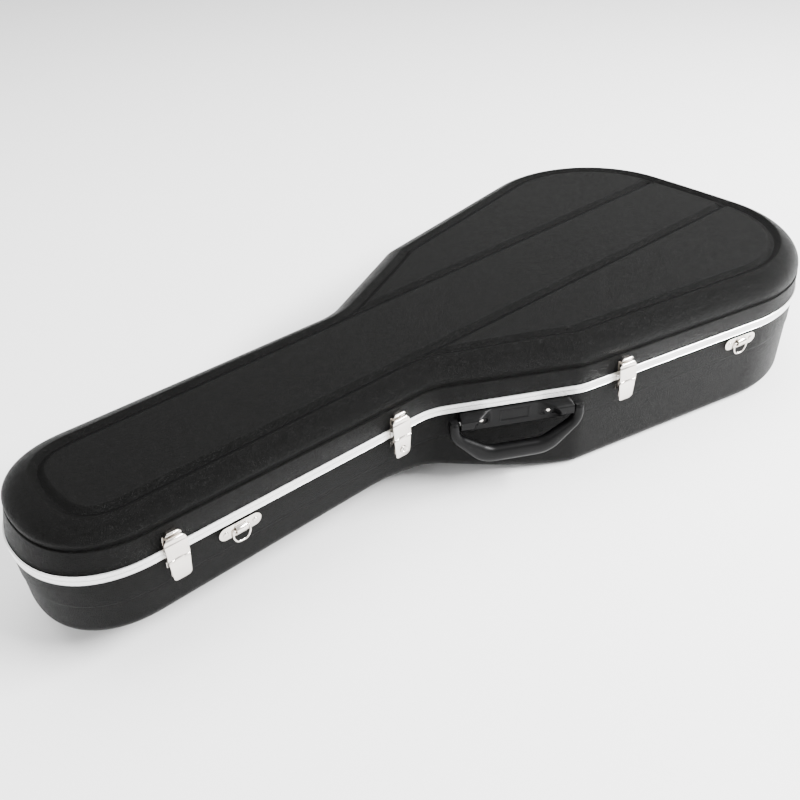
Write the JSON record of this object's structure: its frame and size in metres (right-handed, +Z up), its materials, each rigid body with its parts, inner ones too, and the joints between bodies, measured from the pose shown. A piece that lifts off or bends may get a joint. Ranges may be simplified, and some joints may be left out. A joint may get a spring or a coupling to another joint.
{
  "type": "guitar case",
  "caption": "Moulded hard case for an acoustic guitar with grained shells, a bright closing strip, draw latches, strap rings and a folding handle.",
  "frame": {"origin": "centre of the case's bounding box at floor level, the case lying on its base with the lid shut", "axes": "+X from the neck end to the body end, -Y towards the latch and handle side, +Z up through the lid"},
  "size_m": [1.0932, 0.4852, 0.1787],
  "materials": {
    "shell_abs": "leather-grained moulded ABS, satin",
    "handle_moulding": "smooth moulded plastic, satin",
    "strip_aluminium": "bright rolled strip with fine ribs",
    "bright_nickel": "bright nickel plate",
    "pin_steel": "plain zinc-plated steel",
    "plush_lining": "short charcoal plush",
    "foam_core": "rigid polystyrene foam",
    "pull_ribbon": "woven ribbon"
  },
  "bodies": {
    "base": {"base_shell": "shell_abs", "base_foam": "foam_core", "base_lining": "plush_lining", "base_valance": "strip_aluminium", "neck_cradle": "plush_lining", "pocket_partition": "plush_lining", "handle_plate": "handle_moulding", "handle_rivet_left": "bright_nickel", "handle_rivet_right": "bright_nickel", "handle_pin_left": "pin_steel", "handle_pin_right": "pin_steel", "handle_backing_strip": "pin_steel", "latch_plate_neck": "bright_nickel", "latch_lever_pin_neck": "pin_steel", "latch_plate_waist": "bright_nickel", "latch_lever_pin_waist": "pin_steel", "latch_plate_body": "bright_nickel", "latch_lever_pin_body": "pin_steel", "strap_bracket_neck": "bright_nickel", "strap_bracket_body": "bright_nickel", "hinge_base_leaf_front": "bright_nickel", "hinge_pin_front": "pin_steel", "hinge_base_leaf_middle": "bright_nickel", "hinge_pin_middle": "pin_steel", "hinge_base_leaf_rear": "bright_nickel", "hinge_pin_rear": "pin_steel"},
    "lid": {"lid_shell": "shell_abs", "lid_foam": "foam_core", "lid_lining": "plush_lining", "lid_valance": "strip_aluminium", "latch_keeper_neck": "bright_nickel", "latch_keeper_waist": "bright_nickel", "latch_keeper_body": "bright_nickel", "hinge_lid_leaf_front": "bright_nickel", "hinge_lid_leaf_middle": "bright_nickel", "hinge_lid_leaf_rear": "bright_nickel"},
    "lever_neck": {"latch_lever_neck": "bright_nickel", "latch_link_pin_neck": "pin_steel"},
    "link_neck": {"latch_link_neck": "bright_nickel"},
    "lever_waist": {"latch_lever_waist": "bright_nickel", "latch_link_pin_waist": "pin_steel"},
    "link_waist": {"latch_link_waist": "bright_nickel"},
    "lever_body": {"latch_lever_body": "bright_nickel", "latch_link_pin_body": "pin_steel"},
    "link_body": {"latch_link_body": "bright_nickel"},
    "lock": {"lock_plug": "bright_nickel", "lock_cam": "pin_steel"},
    "handle": {"handle_grip": "handle_moulding"},
    "ring_neck": {"strap_ring_neck": "bright_nickel"},
    "ring_body": {"strap_ring_body": "bright_nickel"},
    "pocket": {"pocket_lid": "plush_lining", "pocket_tab": "pull_ribbon"}
  },
  "joints": [
    {"name": "lid_hinge", "type": "hinge", "parent": "base", "child": "lid", "pos_m": [0.20336, 0.21914, 0.116], "axis": [-0.9855, -0.1695, 0], "range_deg": [0, 100]},
    {"name": "lever_neck_swing", "type": "hinge", "parent": "base", "child": "lever_neck", "pos_m": [-0.4255, -0.1021, 0.117], "axis": [-1, 0, 0], "range_deg": [0, 100]},
    {"name": "link_neck_swing", "type": "hinge", "parent": "lever_neck", "child": "link_neck", "pos_m": [-0.4255, -0.1054, 0.1095], "axis": [-1, 0, 0], "range_deg": [-100, 0]},
    {"name": "lever_waist_swing", "type": "hinge", "parent": "base", "child": "lever_waist", "pos_m": [-0.1445, -0.1021, 0.117], "axis": [-1, 0, 0], "range_deg": [0, 100]},
    {"name": "link_waist_swing", "type": "hinge", "parent": "lever_waist", "child": "link_waist", "pos_m": [-0.1445, -0.1054, 0.1095], "axis": [-1, 0, 0], "range_deg": [-100, 0]},
    {"name": "lever_body_swing", "type": "hinge", "parent": "base", "child": "lever_body", "pos_m": [0.12443, -0.20028, 0.117], "axis": [-0.9803, 0.1975, 0], "range_deg": [0, 100]},
    {"name": "link_body_swing", "type": "hinge", "parent": "lever_body", "child": "link_body", "pos_m": [0.12378, -0.20352, 0.1095], "axis": [-0.9803, 0.1975, 0], "range_deg": [-100, 0]},
    {"name": "lock_turn", "type": "hinge", "parent": "lever_waist", "child": "lock", "pos_m": [-0.1445, -0.1054, 0.0935], "axis": [0, -1, 0], "range_deg": [0, 90]},
    {"name": "handle_fold", "type": "hinge", "parent": "base", "child": "handle", "pos_m": [-0.01138, -0.15251, 0.09951], "axis": [-0.8833, 0.4688, 0], "range_deg": [0, 95]},
    {"name": "ring_neck_swing", "type": "hinge", "parent": "base", "child": "ring_neck", "pos_m": [-0.353, -0.09912, 0.09877], "axis": [-1, 0, 0], "range_deg": [0, 100]},
    {"name": "ring_body_swing", "type": "hinge", "parent": "base", "child": "ring_body", "pos_m": [0.31244, -0.23557, 0.09885], "axis": [-0.9803, 0.1975, 0], "range_deg": [0, 100]},
    {"name": "pocket_lid_hinge", "type": "hinge", "parent": "base", "child": "pocket", "pos_m": [-0.258, 0.043, 0.095], "axis": [-1, 0, 0], "range_deg": [0, 32]}
  ],
  "couplings": [
    {"joint": "link_neck_swing", "follows": "lever_neck_swing", "ratio": -1},
    {"joint": "link_waist_swing", "follows": "lever_waist_swing", "ratio": -1},
    {"joint": "link_body_swing", "follows": "lever_body_swing", "ratio": -1}
  ]
}
